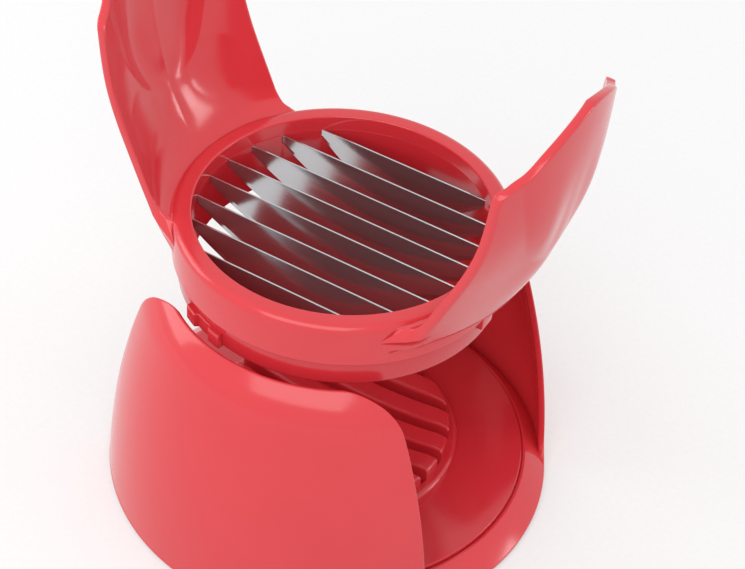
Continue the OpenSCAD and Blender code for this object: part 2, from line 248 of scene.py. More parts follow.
class Skin:
    """A mesh under construction, in millimetres, welded when it is made."""

    def __init__(self) -> None:
        """Start with no points and no faces."""
        self.points: list[Point3] = []
        self.faces: list[tuple[int, ...]] = []

    def patch(self, rows: Grid) -> None:
        """Add a grid of points as four-sided faces.

        Args:
            rows: The grid, row by row.
        """
        start, width = len(self.points), len(rows[0])
        for row in rows:
            self.points.extend(row)
        for i in range(len(rows) - 1):
            for j in range(width - 1):
                a = start + i * width + j
                self.faces.append((a, a + 1, a + width + 1, a + width))

    def slab(self, front: Grid, back: Grid) -> None:
        """Add a closed sheet between two grids of the same size.

        Args:
            front: Grid of one side.
            back: Grid of the other side.
        """
        self.patch(front)
        self.patch(back)
        self.patch([front[0], back[0]])
        self.patch([front[-1], back[-1]])
        for end in (0, -1):
            self.patch([[row[end] for row in front], [row[end] for row in back]])

    def revolve(self, outline: Line, segments: int, centre: Point2 = (0.0, 0.0)) -> None:
        """Turn a closed outline once round an upright axis.

        Args:
            outline: Points as distance from the axis and height.
            segments: Number of facets round the axis.
            centre: Where the axis stands.
        """
        turns = [math.tau * k / segments for k in range(segments)]
        turns.append(0.0)
        rows = []
        for radius, height in outline + outline[:1]:
            row = []
            for turn in turns:
                x = centre[0] + radius * math.cos(turn)
                y = centre[1] + radius * math.sin(turn)
                row.append((x, y, height))
            rows.append(row)
        self.patch(rows)

    def rod(self, radius: float, low: float, high: float, segments: int, centre: Point2) -> None:
        """Add an upright cylinder whose axis stands at a place."""
        self.revolve([(0, low), (radius, low), (radius, high), (0, high)], segments, centre)

    def prism(self, outline: Line, low: float, high: float) -> None:
        """Raise a flat outline into an upright block.

        Args:
            outline: Points of the outline, seen from above.
            low: Height of its lower face.
            high: Height of its upper face.
        """
        start, count = len(self.points), len(outline)
        for height in (low, high):
            self.points.extend((x, y, height) for x, y in outline)
        self.faces.append(tuple(range(start, start + count)))
        self.faces.append(tuple(range(start + count, start + 2 * count)))
        for i in range(count):
            j = (i + 1) % count
            self.faces.append((start + i, start + j, start + count + j, start + count + i))

    def bar(self, left: float, right: float, front: float, back: float, low: float, high: float) -> None:
        """Add a box along the axes, from its two X, two Y and two Z."""
        self.prism([(left, front), (right, front), (right, back), (left, back)], low, high)

    def turned(self, angle: float) -> "Skin":
        """Copy the skin, turned round Z.

        Args:
            angle: Turn in degrees.

        Returns:
            The turned copy.
        """
        turn = Matrix.Rotation(math.radians(angle), 3, "Z")
        copy = Skin()
        copy.points = [tuple(turn @ Vector(p)) for p in self.points]
        copy.faces = list(self.faces)
        return copy

    def add(self, other: "Skin") -> None:
        """Take over another skin's points and faces.

        Args:
            other: The skin to add.
        """
        start = len(self.points)
        self.points.extend(other.points)
        self.faces.extend(tuple(start + i for i in face) for face in other.faces)

    def pair(self) -> "Skin":
        """Copy the skin together with its half turn round Z.

        Returns:
            The two as one skin.
        """
        both = self.turned(0)
        both.add(self.turned(180))
        return both

    def piece(self, name: str) -> Piece:
        """Weld the skin and make an object of it, in metres.

        Args:
            name: Name of the object.

        Returns:
            The object, linked to the scene.
        """
        mesh = bpy.data.meshes.new(name)
        made = bmesh.new()
        corners = [made.verts.new(Vector(p) * MM) for p in self.points]
        for face in self.faces:
            if len(set(face)) > 2:
                made.faces.new([corners[i] for i in face])
        bmesh.ops.remove_doubles(made, verts=made.verts, dist=WELD * MM)
        bmesh.ops.recalc_face_normals(made, faces=made.faces)
        made.to_mesh(mesh)
        made.free()
        shown = bpy.data.objects.new(name, mesh)
        bpy.context.scene.collection.objects.link(shown)
        return shown


class Join(Enum):
    """How one solid is combined with another."""

    UNITE = "UNION"
    CUT = "DIFFERENCE"


def settle(piece: Piece) -> None:
    """Apply a piece's modifiers to its mesh.

    Args:
        piece: The piece whose modifiers are applied.
    """
    graph = bpy.context.evaluated_depsgraph_get()
    mesh = bpy.data.meshes.new_from_object(piece.evaluated_get(graph))
    piece.modifiers.clear()
    old = piece.data
    piece.data = mesh
    bpy.data.meshes.remove(old)


def combine(piece: Piece, skin: Skin, how: Join) -> None:
    """Join a second solid to a piece, or cut it away.

    Args:
        piece: The piece that changes.
        skin: The second solid, or several that don't touch.
        how: Whether it is joined or cut away.
    """
    tool = skin.piece("tool")
    change = piece.modifiers.new("combine", "BOOLEAN")
    change.operation = how.value
    change.solver = "EXACT"
    change.object = tool
    settle(piece)
    bpy.data.objects.remove(tool)


class Slot(Enum):
    """The record's material slots."""

    SHELL = "shell_plastic"
    INNER = "inner_plastic"
    BLADE = "blade_steel"
    SCREW = "screw_steel"
    FOOT = "foot_rubber"


class Body(Enum):
    """The bodies that pieces ride on."""

    BASE = "base"
    HEAD = "head"


def dress(
    piece: Piece, node: str, body: Body, finish: Material, crease: float = 32.0
) -> None:
    """Finish a piece and let it stand for its node.

    Args:
        piece: The piece.
        node: Node that it replaces.
        body: Body that it rides on.
        finish: Its material.
        crease: Edges sharper than this many degrees stay crisp.
    """
    piece.data.materials.clear()
    piece.data.materials.append(finish)
    piece.data.shade_smooth()
    piece.data.set_sharp_from_angle(angle=math.radians(crease))
    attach(piece, body.value)
    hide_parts(node)
    LOG.info("%s: %d faces, rides on %s", piece.name, len(piece.data.polygons), body.value)


# ---- materials ----


def colour(code: str) -> tuple[float, float, float, float]:
    """Turn an sRGB hex code into a linear colour.

    Args:
        code: Six hex digits after a hash.

    Returns:
        Linear red, green and blue, and full alpha.
    """
    linear = []
    for i in (1, 3, 5):
        value = int(code[i:i + 2], 16) / 255
        linear.append(value / 12.92 if value <= 0.04045 else ((value + 0.055) / 1.055) ** 2.4)
    return (linear[0], linear[1], linear[2], 1.0)


def add_node(tree: Tree, kind: str, inputs: dict | None = None, **settings) -> bpy.types.Node:
    """Add a node with its settings, values and links.

    Args:
        tree: Tree that gets the node.
        kind: Blender's name for the kind of node.
        inputs: Value or source socket of each input that is set.
        **settings: The node's own settings.

    Returns:
        The new node.
    """
    node = tree.nodes.new(kind)
    for name, value in settings.items():
        setattr(node, name, value)
    for name, value in (inputs or {}).items():
        if isinstance(value, Socket):
            tree.links.new(value, node.inputs[name])
        else:
            node.inputs[name].default_value = value
    return node


def calc(tree: Tree, operation: str, *values: Value) -> Socket:
    """Add a math node that works on numbers or sockets, and return its result."""
    return add_node(tree, "ShaderNodeMath", dict(enumerate(values)), operation=operation).outputs["Value"]


def blank_material(name: str) -> tuple[Material, Tree, Socket]:
    """Make a material with no nodes but its coordinates.

    Args:
        name: Name of the material.

    Returns:
        The material, its tree and the socket with the piece's own coordinates.
    """
    material = bpy.data.materials.new(name)
    material.use_nodes = True
    tree = material.node_tree
    tree.nodes.clear()
    return material, tree, add_node(tree, "ShaderNodeTexCoord").outputs["Object"]


def per_metre(size: float) -> float:
    """Noise scale that gives features of this size in millimetres."""
    return 1.0 / (size * MM)


def noise(tree: Tree, place: Socket, scale: float, detail: float) -> Socket:
    """Add noise of a scale, with this many finer layers."""
    inputs = {"Vector": place, "Scale": scale, "Detail": detail}
    return add_node(tree, "ShaderNodeTexNoise", inputs).outputs["Fac"]


def tinted(tree: Tree, share: Socket, low: str, high: str) -> Socket:
    """Mix two hex colours; the share is the second one's."""
    inputs = {"Factor": share, "A": colour(low), "B": colour(high)}
    return add_node(tree, "ShaderNodeMix", inputs, data_type="RGBA").outputs["Result"]


def varied(tree: Tree, source: Socket, low: float, high: float) -> Socket:
    """Let a noise, which mostly lies between 0.3 and 0.7, vary a roughness."""
    inputs = {"Value": source, "From Min": 0.3, "From Max": 0.7, "To Min": low, "To Max": high}
    return add_node(tree, "ShaderNodeMapRange", inputs).outputs["Result"]


def relief(tree: Tree, height: Socket, depth_mm: float, strength: float = 1.0) -> Socket:
    """Let a noise tilt the surface, as a relief of this depth would."""
    inputs = {"Height": height, "Strength": strength, "Distance": depth_mm * MM}
    return add_node(tree, "ShaderNodeBump", inputs).outputs["Normal"]


def surface(tree: Tree, inputs: dict) -> None:
    """End a material in a Principled shader with these inputs."""
    shader = add_node(tree, "ShaderNodeBsdfPrincipled", inputs)
    add_node(tree, "ShaderNodeOutputMaterial", {"Surface": shader.outputs["BSDF"]})


@dataclass(frozen=True)
class MouldedAbs:
    """ABS, injection moulded in a polished tool."""

    name: str
    lit: str
    deep: str
    gloss: float = 0.15
    gloss_spread: float = 0.03
    ior: float = 1.53
    shade_mm: float = 34.0
    flow_mm: float = 9.0
    peel_mm: float = 1.3
    peel_depth_mm: float = 0.004

    def make(self) -> Material:
        """Build the material.

        Returns:
            The material.
        """
        material, tree, place = blank_material(self.name)
        # The pigment lies a little denser where the melt cooled slowly, which
        # gives broad patches that the eye takes for depth.
        shade = noise(tree, place, per_metre(self.shade_mm), 2.0)
        # The tool's polish differs slightly along the melt's flow, so highlights
        # are a touch wider in places.
        flow = noise(tree, place, per_metre(self.flow_mm), 3.0)
        # Shrinkage leaves a faint orange peel that softens each reflection's edge.
        peel = noise(tree, place, per_metre(self.peel_mm), 1.0)
        surface(tree, {
            "Base Color": tinted(tree, shade, self.deep, self.lit),
            "Roughness": varied(tree, flow, self.gloss - self.gloss_spread, self.gloss + self.gloss_spread),
            "IOR": self.ior,
            "Normal": relief(tree, peel, self.peel_depth_mm)})
        return material


@dataclass(frozen=True)
class Steel:
    """Steel whose surface was ground or rolled along one direction."""

    name: str
    bright: str
    dull: str
    gloss: float
    line_mm: float
    line_length_mm: float
    line_depth_mm: float
    metal: float = 1.0

    def make(self) -> Material:
        """Build the material.

        Returns:
            The material.
        """
        material, tree, place = blank_material(self.name)
        # Grinding leaves fine lines along the strip. Real ones are a few
        # hundredths of a millimetre apart, and these are drawn coarser to show.
        across = per_metre(self.line_mm)
        scale = (per_metre(self.line_length_mm), across, across)
        along = add_node(tree, "ShaderNodeMapping", {"Vector": place, "Scale": scale})
        lines = noise(tree, along.outputs["Vector"], 1.0, 3.0)
        surface(tree, {
            "Base Color": tinted(tree, lines, self.dull, self.bright),
            "Metallic": self.metal,
            "Roughness": varied(tree, lines, self.gloss * 0.8, self.gloss * 1.25),
            "Normal": relief(tree, lines, self.line_depth_mm)})
        return material


@dataclass(frozen=True)
class Rubber:
    """Natural rubber, compression moulded in a blasted tool."""

    name: str = "Moulded rubber"
    dark: str = "#1b1b1d"
    dusty: str = "#2b2b2e"
    roughness: float = 0.72
    grain_mm: float = 0.5
    grain_depth_mm: float = 0.03
    grain_strength: float = 0.6

    def make(self) -> Material:
        """Build the material.

        Returns:
            The material.
        """
        material, tree, place = blank_material(self.name)
        # The blasted tool leaves a fine grain that scatters light, and dust
        # settles in it as a greyer bloom.
        grain = noise(tree, place, per_metre(self.grain_mm), 4.0)
        surface(tree, {
            "Base Color": tinted(tree, grain, self.dark, self.dusty),
            "Roughness": self.roughness,
            "Normal": relief(tree, grain, self.grain_depth_mm, self.grain_strength)})
        return material


@dataclass
class Finishes:
    """The materials that the pieces share."""

    shell: Material = field(init=False)
    inner: Material = field(init=False)
    blade: Material = field(init=False)
    screw: Material = field(init=False)
    rubber: Material = field(init=False)

    def __post_init__(self) -> None:
        """Make each material once."""
        self.shell = MouldedAbs("Red moulded ABS", "#dc3a42", "#d5333b").make()
        # The inside copy is the shell's ABS made a shade darker. It is painted shade for the floor plate,
        # the food holder and the clamp ring, which stand in shade inside the base and under the skirt.
        self.inner = MouldedAbs("Red moulded ABS with painted shade", "#d2323b", "#c92b34").make()
        self.blade = Steel(
            "Polished stainless strip", "#c8cacc", "#b4b7ba", gloss=0.14, line_mm=0.3,
            line_length_mm=40.0, line_depth_mm=0.0006, metal=0.92).make()
        self.screw = Steel(
            "Zinc plated steel", "#b9bcc0", "#a6a9ad", gloss=0.3, line_mm=0.8,
            line_length_mm=1.6, line_depth_mm=0.004).make()
        self.rubber = Rubber().make()


# ---- pieces ----


def span(node: str, axis: int) -> Point2:
    """Lowest and highest coordinate of a node along an axis, in millimetres."""
    low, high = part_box(node)
    return (low[axis] / MM, high[axis] / MM)


@dataclass(frozen=True)
class Sizes:
    """Main sizes in millimetres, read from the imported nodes."""

    base_h: float = span("base_shell", 2)[1]
    rim_r: float = span("base_shell", 0)[1]
    rim_z: float = span("base_shell", 2)[0]
    floor_z: float = span("floor_plate", 2)[1]
    plate_r: float = span("floor_plate", 0)[1]
    holder_r: float = span("food_holder", 0)[1]
    holder_z: float = span("food_holder", 2)[1]
    skirt_r: float = span("head_frame", 1)[1]
    handle_z: float = span("head_frame", 2)[1]
    band_z: float = span("blade_clamp_ring", 2)[0]
    blade_z: float = span("blade_clamp_ring", 2)[1]
    foot_t: float = span("foot_1", 2)[1]
    # What the nodes' boxes don't tell: walls, fits and the places of screws.
    plate_t: float = 6.0
    rim_round: float = 3.0
    skirt_h: float = 17.2
    skirt_wall: float = 2.2
    ring_wall: float = 7.0
    base_wall: float = 2.2
    mouth_fit: float = 0.4
    floor_t: float = 2.2
    floor_fit: float = 0.3
    lap_fit: float = 0.2
    blade_pitch: float = 11.55
    blade_tail: float = 3.0
    blade_end: float = 3.5
    key_drop: float = 5.0
    key_half: float = 3.5
    handle_half: float = 38.5
    foot_r: float = 5.5
    foot_in: float = 6.4
    tab_in: float = 8.4
    holder_screw_x: float = 26.0
    screw_hole_r: float = 1.7
    pilot_r: float = 1.55
    clamp_pilot_r: float = 1.15
    clamp_screw_angles: tuple[float, ...] = (12, 68, 112, 168, 192, 248, 292, 348)

    @property
    def head_z(self) -> float:
        """Height of the ring's rim."""
        return self.blade_z + self.plate_t

    @property
    def skirt_z(self) -> float:
        """Height of the skirt's lower edge."""
        return self.head_z - self.skirt_h

    @property
    def bore_r(self) -> float:
        """Radius of the ring's clear bore."""
        return self.skirt_r - self.ring_wall

    @property
    def skirt_in_r(self) -> float:
        """Radius inside the skirt."""
        return self.skirt_r - self.skirt_wall

    @property
    def lap_r(self) -> float:
        """Radius of the clamp ring's upper part, inside the skirt."""
        return self.skirt_in_r - self.lap_fit

    @property
    def band_top_r(self) -> float:
        """Radius of the foot band's upper edge, round the floor plate."""
        return self.plate_r + self.floor_fit

    @property
    def tab_at(self) -> float:
        """Radius at which the floor screws stand."""
        return self.band_top_r - self.tab_in

    @property
    def foot_at(self) -> float:
        """Radius at which the feet stand."""
        return self.band_top_r - self.foot_in

    @property
    def floor_screws(self) -> Line:
        """Where the screws of the floor plate stand."""
        return [polar(self.tab_at, angle)[:2] for angle in QUARTERS]

    @property
    def holder_screws(self) -> Line:
        """Where the screws of the food holder stand."""
        x, y = self.holder_screw_x, 2 * self.blade_pitch
        return [(-x, -y), (-x, y), (x, -y), (x, y)]

    @property
    def clamp_screws(self) -> Line:
        """Where the screws of the clamp ring stand, midway between the bore and the lap."""
        return [polar((self.bore_r + self.lap_r) / 2, angle)[:2] for angle in self.clamp_screw_angles]

    def blade_y(self, number: int) -> float:
        """Place of a blade across the ring, for numbers 1 to 8."""
        return (number - 4.5) * self.blade_pitch


SIZES = Sizes()


@dataclass
class BaseShell:
    """The red base: two wings on a sloped foot band, with the ledge for the floor."""

    wall: float = SIZES.base_wall
    opening_half: float = 45.0
    corner_w: float = 7.5
    corner_h: float = 18.0
    opening_round: float = 8.0
    foot_lip: float = 1.5
    foot_lean: float = 3.0
    shoulder_lean: float = 15.0
    mouth_lean: float = 48.0
    mouth_r: float = SIZES.skirt_r + SIZES.mouth_fit + SIZES.base_wall
    edge_round: float = 0.85
    columns: int = 96
    rows: int = 64
    unroll_r: float = 72.0
    # The band below the wings, and the ledge, tabs and seats inside it.
    wing_low: float = 1.0
    neck_w: float = 1.8
    neck_drop: float = 3.8
    neck_z: float = 2.3
    ledge_w: float = 4.4
    ledge_t: float = 2.2
    tab_r: float = 6.0
    tab_low: float = 2.4
    tab_high: float = 4.5
    tab_lap: float = 0.6
    seat_r: float = 7.5
    seat_low: float = 2.0
    seat_high: float = 7.6
    foot_fit: float = 0.05

    def __post_init__(self) -> None:
        """Find the two curves that take the wall from the foot to the mouth."""
        leans = (self.foot_lean, self.shoulder_lean, self.mouth_lean)
        foot, shoulder, mouth = (math.radians(lean) for lean in leans)
        low_rise, low_run = math.sin(shoulder) - math.sin(foot), math.cos(foot) - math.cos(shoulder)
        top_rise, top_run = math.sin(mouth) - math.sin(shoulder), math.cos(shoulder) - math.cos(mouth)
        height = SIZES.base_h - SIZES.rim_z
        flare = SIZES.rim_r - self.mouth_r
        share = low_rise * top_run - low_run * top_rise
        self.belly_r = (height * top_run - flare * top_rise) / share
        self.shoulder_r = (low_rise * flare - low_run * height) / share
        self.shoulder_z = SIZES.rim_z + self.belly_r * low_rise
        self.turn_r = SIZES.rim_r - self.belly_r * low_run

    def face(self, height: float, inset: float = 0.0) -> Point2:
        """Find a point of the wall's section.

        Args:
            height: Height on the outer face.
            inset: How far in from that face.

        Returns:
            The point's radius and height.
        """
        foot, shoulder = math.radians(self.foot_lean), math.radians(self.shoulder_lean)
        if height <= self.shoulder_z:
            lean = math.asin(math.sin(foot) + (height - SIZES.rim_z) / self.belly_r)
            radius = SIZES.rim_r + self.belly_r * (math.cos(lean) - math.cos(foot))
        else:
            sine = math.sin(shoulder) + (height - self.shoulder_z) / self.shoulder_r
            lean = math.asin(min(sine, 1.0))
            radius = self.turn_r + self.shoulder_r * (math.cos(lean) - math.cos(shoulder))
        drop = math.sin(lean) - math.sin(foot)
        return (radius - inset * math.cos(lean), height - inset * drop)

    def unroll(self, side: float, height: float) -> Point2:
        """Unroll a point of the outer face, at a distance from the XZ plane, onto a flat sheet."""
        return (math.acos(side / self.face(height)[0]) * self.unroll_r, height)

    def wing(self) -> Skin:
        """Model the front wing as a closed sheet.

        Returns:
            The wing.
        """
        half, radius = self.opening_half, self.opening_round
        foot_z = SIZES.rim_z + self.wing_low
        low_z = SIZES.rim_z + self.foot_lip
        top_z = SIZES.base_h
        side = [(half - radius, foot_z)]
        for a in steps(-90, 0, 10):
            x, y, _ = polar(radius, a)
            side.append((half - radius + x, low_z + radius + y))
        corner = []
        for a in steps(0, 90, 24):
            x, y, _ = polar(1.0, a)
            corner.append((half + self.corner_w * (1 - x), top_z - self.corner_h * (1 - y)))
        middle = len(corner) // 2
        upright = [(half, z) for z in steps(side[-1][1], corner[0][1], 40)]
        right = [self.unroll(y, z) for y, z in side + upright[1:] + corner[1:middle + 1]]
        right = resample(right, self.rows)
        left = [(-s, z) for s, z in right]
        rim = [self.unroll(y, z) for y, z in corner[middle:]]
        top = [(-s, z) for s, z in rim] + list(reversed(rim))
        top = resample(top, self.columns)
        bottom = [(s, foot_z) for s in steps(left[0][0], right[0][0], self.columns)]
        outer, inner = [], []
        for row in fill(bottom, top, left, right):
            edge_s, edge_z = row[-1]
            edge_r, edge_in_r = self.face(edge_z)[0], self.face(edge_z, self.wall)[0]
            edge_y = edge_r * math.cos(edge_s / self.unroll_r)
            narrower = math.acos(edge_y / edge_in_r) / (edge_s / self.unroll_r)
            outer.append([polar(self.face(z)[0], math.degrees(s / self.unroll_r) - 90, z) for s, z in row])
            inner.append([])
            for s, z in row:
                radius_in, height_in = self.face(z, self.wall)
                turn = math.degrees(s / self.unroll_r) * narrower
                inner[-1].append(polar(radius_in, turn - 90, height_in))
        wing = Skin()
        wing.slab(*round_sheet(outer, inner, self.edge_round))
        return wing

    def foot_band(self) -> Skin:
        """Model the sloped band with its neck and the ledge for the floor.

        Returns:
            The band.
        """
        rim_r, rim_z, top_r = SIZES.rim_r, SIZES.rim_z, SIZES.band_top_r
        ledge_r, neck_r = top_r - self.ledge_w, top_r + self.neck_w
        neck_high = SIZES.floor_z - self.neck_drop
        ledge_z = SIZES.floor_z - SIZES.floor_t
        ledge_low = ledge_z - self.ledge_t
        band = Skin()
        band.revolve(rounded([
            (top_r, SIZES.floor_z, 1.0), (rim_r, rim_z + self.foot_lip, 0.6), (rim_r, rim_z, 0.4),
            (rim_r - self.wall, rim_z, 0.3), (neck_r, neck_high, 0.6), (neck_r, self.neck_z, 0.4),
            (top_r, self.neck_z, 0.4), (top_r, ledge_low, 0.0), (ledge_r, ledge_low, 0.3),
            (ledge_r, ledge_z, 0.2), (top_r, ledge_z, 0.0)]), RING_FACETS)
        return band

    def seats(self) -> tuple[Skin, Skin]:
        """Model the screw tabs and the foot seats below the floor, and their holes.

        Returns:
            The solids to add and the solids to cut away.
        """
        added, cut, tab = Skin(), Skin(), Skin()
        reach = SIZES.band_top_r + self.tab_lap
        outline = [(SIZES.tab_at + x, y) for x, y, _ in (polar(self.tab_r, a) for a in steps(90, 270, 16))]
        outline += [(reach, -self.tab_r), (reach, self.tab_r)]
        tab.prism(outline, self.tab_low, self.tab_high)
        for angle, screw in zip(QUARTERS, SIZES.floor_screws):
            added.add(tab.turned(angle))
            cut.rod(SIZES.screw_hole_r, self.tab_low - 1.1, self.tab_high + 1, HOLE_FACETS, screw)
            foot = polar(SIZES.foot_at, angle + 45)[:2]
            added.revolve(rounded([(0, self.seat_low, 0), (self.seat_r, self.seat_low, 0.5),
                (self.seat_r, self.seat_high, 0), (0, self.seat_high, 0)]), 40, foot)
            cut.rod(SIZES.foot_r + self.foot_fit, self.seat_low - 1, SIZES.foot_t + 0.01, 40, foot)
        return added, cut

    def build(self, finishes: Finishes) -> None:
        """Make the base shell.

        Args:
            finishes: The shared materials.
        """
        shell = self.wing().pair().piece("Base.shell")
        combine(shell, self.foot_band(), Join.UNITE)
        added, cut = self.seats()
        combine(shell, added, Join.UNITE)
        combine(shell, cut, Join.CUT)
        dress(shell, "base_shell", Body.BASE, finishes.shell)


@dataclass
class FloorPlate:
    """The round floor inside the foot band, with its bosses below."""

    edge_r: float = SIZES.plate_r + 0.15
    boss_r: float = 4.0
    boss_low: float = 4.5
    boss_lap: float = 1.0
    left_over: float = 1.4

    def build(self, finishes: Finishes) -> None:
        """Make the floor plate.

        Args:
            finishes: The shared materials.
        """
        top, low = SIZES.floor_z, SIZES.floor_z - SIZES.floor_t
        boss_top = low + self.boss_lap
        plate, bosses, holes = Skin(), Skin(), Skin()
        plate.revolve(rounded([
            (0, low, 0), (self.edge_r, low, 0.2), (self.edge_r, top, 0.4), (0, top, 0)]), RING_FACETS)
        for place in SIZES.floor_screws:
            bosses.revolve(rounded([
                (0, self.boss_low, 0), (self.boss_r, self.boss_low, 0.4),
                (self.boss_r, boss_top, 0), (0, boss_top, 0)]), 32, place)
            holes.rod(SIZES.pilot_r, self.boss_low - 2.5, top - self.left_over, HOLE_FACETS, place)
        for place in SIZES.holder_screws:
            holes.rod(SIZES.screw_hole_r, low - 1, top + 1, HOLE_FACETS, place)
        made = plate.piece("Base.floor")
        combine(made, bosses, Join.UNITE)
        combine(made, holes, Join.CUT)
        dress(made, "floor_plate", Body.BASE, finishes.inner)


@dataclass
class FoodHolder:
    """The low ribbed block that the food stands on; the blades pass between its ribs."""

    slot_w: float = 3.6
    slot_floor: float = 2.2
    dish: float = 5.0
    dish_rim: float = 4.0
    edge_round: float = 1.0
    rib_r: float = SIZES.holder_r - 3.4
    rib_sunk: float = 0.4
    shoulder_in: float = 0.5
    shoulder_h: float = 4.6
    shoulder_round: float = 1.7
    pilot_top: float = 17.0
    short_half: float = 8.0

    def top(self, x: float, y: float) -> float:
        """Find the height of the dished top at a point, before its edges are rounded.

        Args:
            x: Place along the ribs.
            y: Place across the ribs.

        Returns:
            The height.
        """
        edge = self.rib_r - self.dish_rim
        ball = (edge * edge + self.dish * self.dish) / (2 * self.dish)
        run = min(math.hypot(x, y), edge)
        return SIZES.holder_z - (math.sqrt(ball * ball - run * run) - (ball - self.dish))

    def rib(self, low_y: float, high_y: float) -> Skin:
        """Model one rib, its upper edges rounded.

        Args:
            low_y: Front face of the rib.
            high_y: Back face of the rib, or past the round side for an outer rib.

        Returns:
            The rib.
        """
        radius, rounding = self.rib_r, self.edge_round
        # Lines crowd towards an edge, where the rounding is steep.
        near = [rounding * share for share in (0.0, 0.05, 0.2, 0.45, 0.75, 1.0)]
        outer = max(abs(low_y), abs(high_y)) > radius
        if outer:
            # An outer rib has one straight face, and reaches almost to the round side.
            sign = 1 if high_y > radius else -1
            straight = low_y if sign > 0 else -high_y
            reach = radius - 0.02
            lines = [straight + n for n in near] + steps(straight + 1.6, reach - 0.9, 4)
            lines += [reach - n for n in (0.6, 0.35, 0.15, 0.0)]
            lines = [sign * y for y in lines]
        else:
            lines = [low_y + n for n in near] + steps(low_y + 2, high_y - 2, 3)
            lines += [high_y - n for n in reversed(near)]
        bottom = SIZES.floor_z + self.slot_floor - self.rib_sunk
        top_rows, low_rows = [], []
        for y in lines:
            # Where the rib is short its lines crowd together, in proportion.
            end = math.sqrt(max(radius * radius - y * y, 0.01))
            share = min(1.0, end / self.short_half)
            inset = [n * share for n in near]
            body = steps(-end + 2 * share, end - 2 * share, 36)
            row = []
            for x in [-end + n for n in inset] + body + [end - n for n in reversed(inset)]:
                to_side = abs(abs(y) - straight) if outer else min(abs(y - low_y), abs(high_y - y))
                over_side = max(rounding - to_side, 0.0)
                over_rim = max(rounding - radius + math.hypot(x, y), 0.0)
                left = math.sqrt(max(rounding ** 2 - over_side ** 2 - over_rim ** 2, 0.0))
                row.append((x, y, self.top(x, y) - rounding + left))
            top_rows.append(row)
            low_rows.append([(x, y, bottom) for x, y, _ in row])
        rib = Skin()
        rib.slab(top_rows, low_rows)
        return rib

    def build(self, finishes: Finishes) -> None:
        """Make the food holder.

        Args:
            finishes: The shared materials.
        """
        low, slot_z = SIZES.floor_z, SIZES.floor_z + self.slot_floor
        outer, shoulder_z, inner = SIZES.holder_r, low + self.shoulder_h, self.rib_r - self.shoulder_in
        disc, ribs, holes = Skin(), Skin(), Skin()
        disc.revolve(rounded([
            (0, low, 0), (outer, low, 0.2), (outer, shoulder_z, self.shoulder_round),
            (inner, shoulder_z, 0.3), (inner, slot_z, 0.2), (0, slot_z, 0)], 6), 192)
        walls = [-2 * SIZES.holder_r]
        for number in range(1, 9):
            walls += [SIZES.blade_y(number) - self.slot_w / 2, SIZES.blade_y(number) + self.slot_w / 2]
        walls.append(2 * SIZES.holder_r)
        for low_y, high_y in zip(walls[0::2], walls[1::2]):
            ribs.add(self.rib(low_y, high_y))
        for place in SIZES.holder_screws:
            holes.rod(SIZES.pilot_r, low - 1, self.pilot_top, HOLE_FACETS, place)
        made = disc.piece("Base.food_holder")
        combine(made, ribs, Join.UNITE)
        combine(made, holes, Join.CUT)
        dress(made, "food_holder", Body.BASE, finishes.inner)


